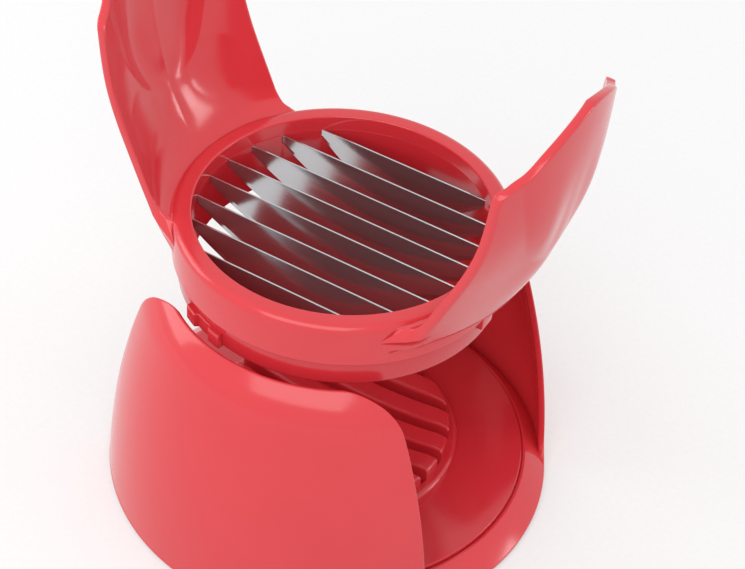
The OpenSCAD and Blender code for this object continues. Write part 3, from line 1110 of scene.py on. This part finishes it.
@dataclass
class Handle:
    """One handle on the +X side: a curved sheet with a finger panel, a keel and thumb rests."""

    # The plain sheet leans out from below the skirt and then bends upright.
    lean: float = 20.3
    lean_drop: float = 3.8
    bend_rise: float = 25.0
    bend_r: float = 150.0
    thickness: float = 3.0
    edge_round: float = 0.95
    columns: int = 128
    upper_rows: int = 66
    # The top edge falls from its crown to the corners.
    corner_rise: float = 66.0
    corner_round: float = 5.0
    top_power: float = 1.6
    dip_y: float = 28.0
    dip_depth: float = 1.2
    dip_w: float = 4.0
    # The finger panel is pressed out inside a border that climbs to both sides.
    panel_rise: float = 21.5
    panel_climb: float = 0.0066
    panel_power: float = 2.6
    panel_depth: float = 2.4
    panel_fall: float = 4.2
    panel_fade: Point2 = (34.0, 74.0)
    border_blur: float = 0.35
    middle_blur: float = 1.6
    middle_blur_half: float = 6.0
    margin_depth: float = 0.9
    margin_fade: Point2 = (40.0, 64.0)
    # Near the middle only a share of the panel's depth is reached, on each face.
    middle_y: Point2 = (3.0, 15.0)
    middle_out: float = 0.3
    middle_in: float = 0.45
    # The keel stands out at the root.
    keel_depth: float = 3.6
    keel_rise: float = 14.0
    keel_reach: Point2 = (24.0, 20.0)
    keel_half: float = 15.0
    # Inside are a scoop, a ridge up the middle and a thumb rest on each side of it.
    scoop_depth: float = 2.0
    scoop_rise: float = 20.0
    scoop_reach: float = 11.0
    scoop_half: float = 14.0
    scoop_start: Point2 = (2.0, 12.0)
    ridge_depth: float = 0.75
    ridge_half: float = 5.0
    ridge_start: Point2 = (2.0, 14.0)
    rest_depth: float = 0.5
    rest_y: float = 20.5
    rest_r: float = 11.5
    # The root flares into the skirt outside, and meets the rim in a cove inside.
    root_rise: float = -5.5
    root_sweep: float = 5.5
    root_half: float = 43.8
    sweep_y: float = 33.0
    flare_y: float = 36.0
    flare_rise: Point2 = (-8.5, -0.8)
    skirt_lap: float = 0.4
    push_blend: float = 3.0
    arris_drop: float = 0.9
    tip_in: float = 1.7
    tip_drop: float = 4.4
    tip_r: float = 0.5
    rim_rows: Point2 = (-1.0, 8.9)
    cove_r: float = 5.0
    cove_upper_r: float = 40.0
    cove_turn: float = 50.0
    cove_sink: float = 1.0
    cove_narrowing: float = 0.55
    hidden_in: float = 1.9
    hidden_drop: float = 3.6

    def __post_init__(self) -> None:
        """Find where the straight part ends and how far the handle reaches."""
        slope = math.tan(math.radians(self.lean))
        self.line_r = SIZES.skirt_r + (SIZES.skirt_h + self.lean_drop + self.bend_rise) * slope
        self.reach_r = self.line_r + self.bend_r * (1 - math.cos(math.radians(self.lean)))
        self.bend_top = self.bend_rise + self.bend_r * math.sin(math.radians(self.lean))
        self.rise = SIZES.handle_z - SIZES.head_z
        self.through = self.thickness / math.cos(math.radians(self.lean))

    def lean_at(self, rise: float) -> float:
        """Find the lean of the outer face.

        Args:
            rise: Height above the rim.

        Returns:
            The lean in radians.
        """
        if rise <= self.bend_rise:
            return math.radians(self.lean)
        return math.asin(max(self.bend_top - rise, 0.0) / self.bend_r)

    def outer_r(self, rise: float) -> float:
        """Find the radius of the plain outer face.

        Args:
            rise: Height above the rim.

        Returns:
            The radius.
        """
        if rise <= self.bend_rise:
            return self.line_r - (self.bend_rise - rise) * math.tan(math.radians(self.lean))
        return self.reach_r - self.bend_r * (1 - math.cos(self.lean_at(rise)))

    @staticmethod
    def stand(radius: float, y: float, rise: float, push: float) -> Point3:
        """Place a point of the sheet by its radius, side and height, pushed out along X."""
        return (math.sqrt(radius * radius - y * y) + push, y, SIZES.head_z + rise)

    def top_rise(self, y: float) -> float:
        """Find the height of the top edge, with a slight dip where the panel's border meets it.

        Args:
            y: Distance from the handle's middle.

        Returns:
            The height above the rim.
        """
        share = min(abs(y) / SIZES.handle_half, 1.0)
        dip = self.dip_depth * bell(abs(y), self.dip_y, self.dip_w)
        return self.corner_rise + (self.rise - self.corner_rise) * (1 - share ** self.top_power) - dip

    def panel(self, y: float, rise: float) -> float:
        """Share of the finger panel's depth that is reached at a point.

        Args:
            y: Distance from the handle's middle.
            rise: Height above the rim.

        Returns:
            A share from 0, outside the panel, to 1, well inside it.
        """
        edge = self.panel_rise + self.panel_climb * abs(y) ** self.panel_power
        slope = self.panel_climb * self.panel_power * abs(y) ** (self.panel_power - 1)
        inside = (rise - edge) / math.hypot(1.0, slope)
        blur = self.border_blur + self.middle_blur * bell(y, 0.0, self.middle_blur_half)
        return 1 - math.exp(-0.5 * (inside + math.hypot(inside, blur)) / self.panel_fall)

    def panel_push(self, y: float, rise: float) -> float:
        """Find how far the finger panel is pressed outwards, less the margins' set-back.

        Args:
            y: Distance from the handle's middle.
            rise: Height above the rim.

        Returns:
            A distance along X, outwards.
        """
        depth = self.panel_depth * (1 - ease(*self.panel_fade, rise))
        set_back = self.margin_depth * ease(*self.margin_fade, rise)
        share = self.panel(y, rise)
        return depth * share - set_back * (1 - share)

    def outer_push(self, y: float, rise: float) -> float:
        """How far the outer face stands out from its plain curve.

        Args:
            y: Distance from the handle's middle.
            rise: Height above the rim.

        Returns:
            A distance along X, outwards.
        """
        below, above = self.keel_reach
        reach = below if rise < self.keel_rise else above
        keel = self.keel_depth * bell(rise, self.keel_rise, reach) * bell(y, 0.0, self.keel_half)
        away = self.middle_out + (1 - self.middle_out) * ease(*self.middle_y, abs(y))
        return keel + self.panel_push(y, rise) * away

    def inner_push(self, y: float, rise: float) -> float:
        """How far the inner face lies outwards from its plain curve.

        Args:
            y: Distance from the handle's middle.
            rise: Height above the rim.

        Returns:
            A distance along X, outwards.
        """
        scoop = self.scoop_depth * bell(rise, self.scoop_rise, self.scoop_reach)
        scoop *= bell(y, 0.0, self.scoop_half) * ease(*self.scoop_start, rise)
        ridge = self.ridge_depth * math.exp(-abs(y) / self.ridge_half) * ease(*self.ridge_start, rise)
        off = math.hypot(abs(y) - self.rest_y, rise - self.scoop_rise) / self.rest_r
        rest = self.rest_depth * max(0.0, 1 - off * off) * (1 - self.panel(y, rise))
        away = self.middle_in + (1 - self.middle_in) * ease(*self.middle_y, abs(y))
        return scoop + rest + self.panel_push(y, rise) * away - ridge

    def spread(self, rise: float) -> float:
        """Share of the root's extra width at a height above the rim."""
        return 1 - ease(*self.flare_rise, rise)

    def half_width(self, rise: float) -> float:
        """Half of the handle's width, which flares into the skirt at its root."""
        return SIZES.handle_half + (self.root_half - SIZES.handle_half) * self.spread(rise)

    def outer_lower(self, share: float) -> list[Point3]:
        """List the outer face's points below its bend, from the skirt's wall upwards.

        Args:
            share: Place across the handle, from -1 to 1.

        Returns:
            The points.
        """
        root_y = share * self.root_half
        root = self.root_rise - self.root_sweep * ease(self.sweep_y, self.root_half, abs(root_y))
        wall_r, tip_at = SIZES.skirt_r - self.skirt_lap, SIZES.skirt_r - self.tip_in
        tip = root - self.tip_drop
        proud = 1 - ease(self.flare_y, self.root_half, abs(root_y))
        arris_r = wall_r + (self.outer_r(root) - wall_r) * proud
        points = [
            (tip_at, root_y, tip), (tip_at + self.tip_r, root_y, tip - self.tip_r),
            (tip_at + 2 * self.tip_r, root_y, tip), (wall_r, root_y, tip + 1.0),
            (arris_r - self.tip_r * proud, root_y, root - self.arris_drop), (arris_r, root_y, root)]
        # The rows are close together where the flare runs out into the rim.
        low, high = self.rim_rows
        rises = steps(root, low, 6)[1:] + steps(low, high, 12)[1:] + steps(high, self.bend_rise, 20)[1:]
        for rise in rises:
            y = share * self.half_width(rise)
            fade = self.spread(rise) * ease(self.flare_y, self.root_half, abs(y))
            into_rim = max(rise + SIZES.rim_round, 0.0)
            rim_in = SIZES.rim_round - math.sqrt(max(SIZES.rim_round ** 2 - into_rim ** 2, 0.0))
            hidden_r = wall_r - rim_in
            points.append((hidden_r + (self.outer_r(rise) - hidden_r) * (1 - fade), y, rise))
        placed = []
        for radius, y, rise in points:
            push = self.outer_push(y, rise) * ease(wall_r, wall_r + self.push_blend, radius)
            placed.append(self.stand(radius, y, rise, push))
        return placed

    def inner_lower(self, share: float) -> list[Point3]:
        """List the inner face's points below its bend, from inside the ring upwards.

        Args:
            share: Place across the handle, from -1 to 1.

        Returns:
            The points, as many as the outer face has.
        """
        root_y, y = share * self.root_half, share * SIZES.handle_half
        first, second = self.cove_r, self.cove_upper_r * (1 - self.cove_narrowing * abs(share) ** 3)
        bend, turn = math.radians(self.cove_turn), math.radians(90 - self.lean)
        cove = [(first * math.sin(a), first * (1 - math.cos(a))) for a in steps(0, bend, 7)]
        across, up = cove[-1]
        for a in steps(bend, turn, 12)[1:]:
            run, climb = math.sin(a) - math.sin(bend), math.cos(bend) - math.cos(a)
            cove.append((across + second * run, up + second * climb))
        joint = cove[-1][1] - self.cove_sink
        start_r = self.outer_r(joint) - self.through - cove[-1][0]
        low = self.root_rise - self.root_sweep * ease(self.sweep_y, self.root_half, abs(root_y))
        low -= self.hidden_drop
        # The first four points stay hidden in the ring.
        back_r = SIZES.skirt_r - self.hidden_in
        points = [(back_r, root_y, low), (back_r, (root_y + y) / 2, (low - 6.2) / 2)]
        points += [(back_r, y, -6.0), (back_r - 1.2, y, -3.0)]
        points += [(start_r + across, y, up - self.cove_sink) for across, up in cove]
        for rise in steps(joint, self.bend_rise, 20)[1:]:
            points.append((self.outer_r(rise) - self.through, y, rise))
        placed = []
        for radius, side, rise in points:
            push = self.inner_push(side, rise) if rise > 0 else 0.0
            placed.append(self.stand(radius, side, rise, push))
        return placed

    def upper(self) -> list[Line]:
        """Lay the grid of the part above the bend, with rounded upper corners.

        Returns:
            Rows of distance from the middle and height above the rim, from low to high.
        """
        half, radius, low = SIZES.handle_half, self.corner_round, self.bend_rise
        corner_z = self.top_rise(half - radius)
        arc = []
        for a in steps(0, 90, 16):
            x, y, _ = polar(radius, a)
            arc.append((half - radius + x, corner_z - radius + y))
        middle = 9
        side = [(half, z) for z in steps(low, arc[0][1], 30)]
        right = resample(side + arc[1:middle + 1], self.upper_rows)
        crown = [(y, self.top_rise(y)) for y in steps(half - radius, radius - half, 90)]
        rim = arc[middle:] + crown[1:-1] + [(-y, z) for y, z in reversed(arc[middle:])]
        top = resample(list(reversed(rim)), self.columns)
        left = [(-y, z) for y, z in right]
        bottom = [(y, low) for y in steps(-half, half, self.columns)]
        return fill(bottom, top, left, right)[1:]

    def skin(self) -> Skin:
        """Model the handle as a closed sheet.

        Returns:
            The handle.
        """
        shares = steps(-1, 1, self.columns)
        outer = flipped([self.outer_lower(share) for share in shares])
        inner = flipped([self.inner_lower(share) for share in shares])
        for row in self.upper():
            outer_row, inner_row = [], []
            for y, rise in row:
                outer_r = self.outer_r(rise)
                inner_r = outer_r - self.thickness / math.cos(self.lean_at(rise))
                outer_row.append(self.stand(outer_r, y, rise, self.outer_push(y, rise)))
                inner_row.append(self.stand(inner_r, y, rise, self.inner_push(y, rise)))
            outer.append(outer_row)
            inner.append(inner_row)
        sheet = Skin()
        sheet.slab(*round_sheet(outer, inner, self.edge_round, (-1,)))
        return sheet


@dataclass
class HeadFrame:
    """The cutting head's frame: the ring with its skirt, two handles and key tongues."""

    key_lap: float = 3.0
    key_round: float = 0.4
    key_in: Point2 = (0.06, 0.05)
    hole_depth: float = 5.0

    def ring(self) -> Skin:
        """Model the ring with its skirt.

        Returns:
            The ring.
        """
        top, low, seat = SIZES.head_z, SIZES.skirt_z, SIZES.blade_z
        ring = Skin()
        ring.revolve(rounded([
            (SIZES.bore_r, top, 0.7), (SIZES.skirt_r, top, SIZES.rim_round), (SIZES.skirt_r, low, 0.5),
            (SIZES.skirt_in_r, low, 0.3), (SIZES.skirt_in_r, seat, 0.0),
            (SIZES.bore_r, seat, 0.15)], 8), RING_FACETS)
        return ring

    def keys(self) -> Skin:
        """Model the tongues that reach down beside the clamp ring.

        Returns:
            The two tongues.
        """
        low = SIZES.skirt_z - SIZES.key_drop
        spread = steps(-SIZES.key_half, SIZES.key_half, 6)
        faces = []
        for radius in (SIZES.skirt_r - self.key_in[0], SIZES.skirt_in_r + self.key_in[1]):
            heights = steps(low, low + SIZES.key_drop + self.key_lap, 5)
            faces.append([[(math.sqrt(radius ** 2 - y * y), y, z) for y in spread] for z in heights])
        tongue = Skin()
        tongue.slab(*round_sheet(faces[0], faces[1], self.key_round))
        return tongue.pair()

    def build(self, finishes: Finishes) -> None:
        """Make the head's frame.

        Args:
            finishes: The shared materials.
        """
        made = self.ring().piece("Head.frame")
        combine(made, Handle().skin().pair(), Join.UNITE)
        combine(made, self.keys(), Join.UNITE)
        holes, low = Skin(), SIZES.blade_z - 1
        for place in SIZES.clamp_screws:
            holes.rod(SIZES.clamp_pilot_r, low, low + self.hole_depth, 20, place)
        combine(made, holes, Join.CUT)
        dress(made, "head_frame", Body.HEAD, finishes.shell)


@dataclass
class ClampRing:
    """The ring below the skirt that clamps the blades and guides the head."""

    band_r: float = SIZES.skirt_r - 2.1
    lug_r: float = SIZES.skirt_r + 0.1
    lug_angle: float = 18.5
    lug_h: float = 6.0
    lug_sunk: float = 1.2
    lug_round: float = 0.45
    lug_place: float = 69.1
    pocket_depth: float = 1.4
    blade_fit: float = 0.05
    seat_half: float = 0.35
    seat_in: float = 1.5
    sink_r: float = 1.85
    sink_depth: float = 2.0
    key_fit: float = 0.2

    def build(self, finishes: Finishes) -> None:
        """Make the clamp ring.

        Args:
            finishes: The shared materials.
        """
        low, top, bore, lap_r = SIZES.band_z, SIZES.blade_z, SIZES.bore_r, SIZES.lap_r
        step_z = SIZES.skirt_z - SIZES.lap_fit
        ring = Skin()
        ring.revolve(rounded([
            (bore, low, 0.5), (self.band_r, low, 0.9), (self.band_r, step_z, 0.1),
            (lap_r, step_z, 0), (lap_r, top, 0.3), (bore, top, 0.1)]), RING_FACETS)
        made = ring.piece("Head.blade_clamp_ring")
        combine(made, self.lugs(), Join.UNITE)
        combine(made, self.cuts(), Join.CUT)
        dress(made, "blade_clamp_ring", Body.HEAD, finishes.inner)

    def lugs(self) -> Skin:
        """Model the guide lugs, each with a shallow pocket in its face.

        Returns:
            The lugs.
        """
        lugs = Skin()
        heights = steps(SIZES.band_z + 0.05, SIZES.band_z + self.lug_h, 10)
        for place in (self.lug_place - 180, self.lug_place):
            turns = steps(place - self.lug_angle / 2, place + self.lug_angle / 2, 48)
            # The pocket takes up the middle of the lug's 48 columns.
            depths = [ease(14, 16, k) * (1 - ease(33, 35, k)) * self.pocket_depth for k in range(49)]
            front = [[polar(self.lug_r - d, turn, z) for d, turn in zip(depths, turns)] for z in heights]
            back = [[polar(self.band_r - self.lug_sunk, turn, z) for turn in turns] for z in heights]
            lugs.slab(*round_sheet(front, back, self.lug_round))
        return lugs

    def cuts(self) -> Skin:
        """Model what is cut from the ring: blade seats, screw bores and key seats.

        Returns:
            The solids to cut away.
        """
        cuts, low, top = Skin(), SIZES.band_z, SIZES.blade_z
        seat_low = top - SIZES.blade_end - self.blade_fit
        for number in range(1, 9):
            y = SIZES.blade_y(number)
            far = math.sqrt((SIZES.bore_r + SIZES.blade_tail) ** 2 - y * y) + self.blade_fit
            near = math.sqrt((SIZES.bore_r - self.seat_in) ** 2 - y * y)
            for side in (-1, 1):
                cuts.bar(side * near, side * far, y - self.seat_half, y + self.seat_half, seat_low, top + 1)
        sink_z, pilot_r = low + self.sink_depth, SIZES.clamp_pilot_r
        for place in SIZES.clamp_screws:
            cuts.revolve([
                (0, low - 1), (self.sink_r, low - 1), (self.sink_r, sink_z), (pilot_r, sink_z),
                (pilot_r, top + 1), (0, top + 1)], HOLE_FACETS, place)
        key_low, half = SIZES.skirt_z - SIZES.key_drop - self.key_fit, SIZES.key_half + self.key_fit
        key_high = key_low + SIZES.key_drop + 2 * self.key_fit
        for side in (-1, 1):
            cuts.bar(side * SIZES.lap_r, side * (SIZES.skirt_r + 2), -half, half, key_low, key_high)
        return cuts


@dataclass
class Blade:
    """One blade: straight along its top edge, deep in its middle, ground below."""

    half_t: float = 0.3
    sag: float = 16.0
    ground: float = 2.2
    ground_end: float = 0.35
    edge_half: float = 0.06
    back_round: float = 0.09
    columns: int = 64

    def build(self, number: int, finishes: Finishes) -> None:
        """Make one blade.

        Args:
            number: The blade's number, from 1 at the front.
            finishes: The shared materials.
        """
        y, top = SIZES.blade_y(number), SIZES.blade_z
        clear = math.sqrt(SIZES.bore_r ** 2 - y * y)
        half = math.sqrt((SIZES.bore_r + SIZES.blade_tail) ** 2 - y * y)
        thick, edge, shoulder = self.half_t, self.edge_half, self.half_t - self.back_round
        rows: Grid = []
        for x in [-half] + steps(-clear, clear, self.columns) + [half]:
            bow = 1 - min(abs(x) / clear, 1.0) ** 2
            low = top - SIZES.blade_end - self.sag * bow
            # The ground strip narrows towards the ends.
            ground = low + self.ground * min(1.0, self.ground_end + 2.0 * bow)
            right = [(shoulder, top), (thick, top - self.back_round), (thick, ground), (edge, low)]
            loop = right + [(-side, z) for side, z in reversed(right)]
            rows.append([(x, y + side, z) for side, z in loop + loop[:1]])
        skin = Skin()
        skin.patch(rows)
        for row in (rows[0], rows[-1]):
            start = len(skin.points)
            skin.points.extend(row[:-1])
            skin.faces.append(tuple(range(start, start + len(row) - 1)))
        made = skin.piece(f"Head.blade_{number}")
        dress(made, f"blade_{number}", Body.HEAD, finishes.blade, 5)


@dataclass
class Screw:
    """A pan head screw that points up, with a cross recess below."""

    shank_r: float
    length: float
    head_r: float
    head_h: float
    recess_w: float = 0.7
    recess_depth: float = 0.8
    recess_reach: float = 0.55
    pitch: float = 0.9
    thread_depth: float = 0.14
    thread_start: float = 0.6
    point_h: float = 0.8
    point_r: float = 0.3

    def solid(self, centre: Point2, low: float) -> Skin:
        """Model the screw without its recess.

        Args:
            centre: Where its axis stands.
            low: Height of the head's lowest point.

        Returns:
            The screw.
        """
        seat = low + self.head_h
        tip = seat + self.length
        core_r = self.shank_r - self.thread_depth
        # The head's sides bulge, as shares of its radius and height.
        bulge = ((0.62, 0.08), (0.9, 0.36), (1.0, 0.72))
        outline = [(0.0, low)] + [(self.head_r * r, low + self.head_h * h) for r, h in bulge]
        outline += [(self.head_r, seat), (core_r, seat)]
        for k in range(int((self.length - self.thread_start - self.point_h) / self.pitch)):
            z = seat + self.thread_start + k * self.pitch
            outline += [(core_r, z), (self.shank_r, z + self.pitch / 2)]
        outline += [(core_r, tip - self.point_h), (self.point_r, tip), (0.0, tip)]
        screw = Skin()
        screw.revolve(outline, 28, centre)
        return screw

    def recess(self, centre: Point2, low: float) -> Skin:
        """Model the cross that is cut into the head.

        Args:
            centre: Where the screw's axis stands.
            low: Height of the head's lowest point.

        Returns:
            The cross.
        """
        x, y = centre
        arm, half = self.head_r * self.recess_reach, self.recess_w / 2
        quarter = [(half, half), (half, arm), (-half, arm)]
        cross = []
        for _ in QUARTERS:
            cross += [(x + across, y + along) for across, along in quarter]
            quarter = [(-along, across) for across, along in quarter]
        tool = Skin()
        tool.prism(cross, low - 1, low + self.recess_depth)
        return tool

    def build(
        self, name: str, node: str, body: Body, places: Line, low: float, finishes: Finishes
    ) -> None:
        """Make a set of these screws.

        Args:
            name: Name of the piece.
            node: Node that the set replaces.
            body: Body that the set rides on.
            places: Where each screw stands.
            low: Height of the heads' lowest point.
            finishes: The shared materials.
        """
        screws, crosses = Skin(), Skin()
        for place in places:
            screws.add(self.solid(place, low))
            crosses.add(self.recess(place, low))
        made = screws.piece(name)
        combine(made, crosses, Join.CUT)
        dress(made, node, body, finishes.screw)


def build_screws(finishes: Finishes) -> None:
    """Make the three sets of screws.

    Args:
        finishes: The shared materials.
    """
    floor = Screw(shank_r=1.5, length=6.8, head_r=3.0, head_h=1.4)
    floor_low = BaseShell.neck_z - floor.head_h
    floor.build("Base.floor_screws", "floor_screws", Body.BASE, SIZES.floor_screws, floor_low, finishes)
    holder = Screw(shank_r=1.5, length=7.7, head_r=3.0, head_h=1.4)
    holder_low = SIZES.floor_z - SIZES.floor_t - holder.head_h
    holder.build(
        "Base.holder_screws", "holder_screws", Body.BASE, SIZES.holder_screws, holder_low, finishes)
    sink_z = SIZES.band_z + ClampRing.sink_depth
    clamp = Screw(
        shank_r=1.1, length=SIZES.blade_z - sink_z + 3.5, head_r=1.8, head_h=1.6, recess_w=0.45)
    clamp_low = sink_z - clamp.head_h
    clamp.build("Head.clamp_screws", "clamp_screws", Body.HEAD, SIZES.clamp_screws, clamp_low, finishes)


@dataclass
class Foot:
    """A round rubber foot with two grooves in its sole."""

    radius: float = SIZES.foot_r
    groove_starts: Point2 = (1.2, 3.0)
    groove_depth: float = 0.4

    def build(self, number: int, finishes: Finishes) -> None:
        """Make one foot.

        Args:
            number: The foot's number, from 1 to 4.
            finishes: The shared materials.
        """
        outline = [(0, 0, 0)]
        for start in self.groove_starts:
            outline += [(start, 0, 0.1), (start + 0.3, self.groove_depth, 0)]
            outline += [(start + 0.7, self.groove_depth, 0), (start + 1.0, 0, 0.1)]
        outline += [(self.radius - 0.3, 0, 0.5), (self.radius, 0.9, 0.4)]
        outline += [(self.radius, SIZES.foot_t, 0.1), (0, SIZES.foot_t, 0)]
        foot = Skin()
        foot.revolve(rounded(outline, 3), 48, polar(SIZES.foot_at, 45 + 90 * (number - 1))[:2])
        made = foot.piece(f"Base.foot_{number}")
        dress(made, f"foot_{number}", Body.BASE, finishes.rubber)


# ---- studio ----


@dataclass(frozen=True)
class Softbox:
    """A rectangular lamp behind white cloth."""

    name: str
    place: Point3
    aim: Point3
    width: float
    height: float
    power: float

    def build(self) -> None:
        """Hang the lamp."""
        lamp = bpy.data.lights.new(self.name, "AREA")
        lamp.shape = "RECTANGLE"
        lamp.size = self.width
        lamp.size_y = self.height
        lamp.energy = self.power
        hung = bpy.data.objects.new(self.name, lamp)
        hung.location = self.place
        hung.visible_camera = False
        hung.rotation_euler = (Vector(self.aim) - Vector(self.place)).to_track_quat("-Z", "Y").to_euler()
        bpy.context.scene.collection.objects.link(hung)


@dataclass
class Studio:
    """The pale floor, the world and the lamps."""

    floor_half: float = 3.0
    floor_grey: str = "#c6c6c6"
    paper_white: str = "#cecece"
    fibre_mm: float = 2.0
    paper_glow: float = 0.35
    sky_light: float = 0.82
    softboxes: tuple[Softbox, ...] = (
        Softbox("Softbox front", (0.2, -1.0, 0.95), (0.0, 0.0, 0.08), 1.2, 0.9, 7.4),
        Softbox("Softbox left", (-1.15, -0.35, 0.55), (0.0, 0.0, 0.08), 0.7, 0.7, 3.5),
        Softbox("Softbox back right", (1.25, 0.75, 0.3), (0.0, 0.0, 0.12), 0.3, 0.4, 2.0),
    )

    def build(self) -> None:
        """Build the floor, the world and the lamps."""
        self.floor()
        self.world()
        for softbox in self.softboxes:
            softbox.build()

    def floor(self) -> None:
        """Lay the pale floor. It glows for the camera and in reflections, and keeps the shadow."""
        half = self.floor_half
        sheet = bpy.data.meshes.new("Floor")
        corners = [(-half, -half, 0), (half, -half, 0), (half, half, 0), (-half, half, 0)]
        sheet.from_pydata(corners, [], [(0, 1, 2, 3)])
        floor = bpy.data.objects.new("Floor", sheet)
        bpy.context.scene.collection.objects.link(floor)
        material, tree, place = blank_material("Matt white paper")
        # Paper has a faint fibre mottle that keeps the floor from looking like a void.
        fibre = noise(tree, place, per_metre(self.fibre_mm), 3.0)
        shade = tinted(tree, fibre, self.floor_grey, self.paper_white)
        paper = add_node(tree, "ShaderNodeBsdfDiffuse", {"Color": shade})
        glow = calc(tree, "MULTIPLY", self.seen(tree), self.paper_glow)
        light = add_node(tree, "ShaderNodeEmission", {"Color": WHITE, "Strength": glow})
        shaders = {0: paper.outputs["BSDF"], 1: light.outputs["Emission"]}
        both = add_node(tree, "ShaderNodeAddShader", shaders)
        add_node(tree, "ShaderNodeOutputMaterial", {"Surface": both.outputs["Shader"]})
        sheet.materials.append(material)

    def seen(self, tree: Tree) -> Socket:
        """Tell rays that show a surface from rays that only light one.

        Args:
            tree: Tree that gets the nodes.

        Returns:
            A socket that is 1 for camera, glossy and transmission rays, and 0 for the others.
        """
        path = add_node(tree, "ShaderNodeLightPath")
        mirrored = calc(tree, "MAXIMUM", path.outputs["Is Glossy Ray"], path.outputs["Is Transmission Ray"])
        return calc(tree, "MAXIMUM", path.outputs["Is Camera Ray"], mirrored)

    def world(self) -> None:
        """Make the surroundings: white where they are seen, and softer as a light."""
        world = bpy.data.worlds.new("White cove")
        world.use_nodes = True
        tree = world.node_tree
        tree.nodes.clear()
        strength = calc(tree, "MAXIMUM", self.seen(tree), self.sky_light)
        sky = add_node(tree, "ShaderNodeBackground", {"Color": WHITE, "Strength": strength})
        add_node(tree, "ShaderNodeOutputWorld", {"Surface": sky.outputs["Background"]})
        bpy.context.scene.world = world


@dataclass
class Viewpoint:
    """The camera, set by its direction from the ring and by what it centres on.

    The lens is in millimetres on Blender's own sensor width.
    """

    azimuth: float = 28.553
    elevation: float = 42.194
    roll: float = 4.715
    distance: float = 727.88
    shift_right: float = 9.871
    shift_up: float = -25.925
    lens: float = 100.92

    def build(self) -> None:
        """Make the camera."""
        a, e, r = (math.radians(v) for v in (self.azimuth, self.elevation, self.roll))
        back = Vector((math.sin(a) * math.cos(e), -math.cos(a) * math.cos(e), math.sin(e)))
        level = (-back).cross(Vector((0, 0, 1))).normalized()
        up = level.cross(-back)
        right = level * math.cos(r) + up * math.sin(r)
        top = up * math.cos(r) - level * math.sin(r)
        place = Vector((0, 0, SIZES.head_z)) + back * self.distance
        place += right * self.shift_right + top * self.shift_up
        camera = bpy.data.cameras.new("Camera")
        camera.lens = self.lens
        camera.clip_start = 0.01
        stand = bpy.data.objects.new("Camera", camera)
        turn = Matrix((right, top, back)).transposed().to_4x4()
        stand.matrix_world = Matrix.Translation(place * MM) @ turn
        bpy.context.scene.collection.objects.link(stand)
        bpy.context.scene.camera = stand


def main() -> None:
    """Build the slicer and its studio."""
    logging.basicConfig(level=logging.INFO, format="%(message)s")
    bpy.context.scene.view_settings.view_transform = "Standard"
    Viewpoint().build()
    Studio().build()
    finishes = Finishes()
    BaseShell().build(finishes)
    FloorPlate().build(finishes)
    FoodHolder().build(finishes)
    for number in range(1, 5):
        Foot().build(number, finishes)
    HeadFrame().build(finishes)
    ClampRing().build(finishes)
    for number in range(1, 9):
        Blade().build(number, finishes)
    build_screws(finishes)


if __name__ == "__main__":
    main()
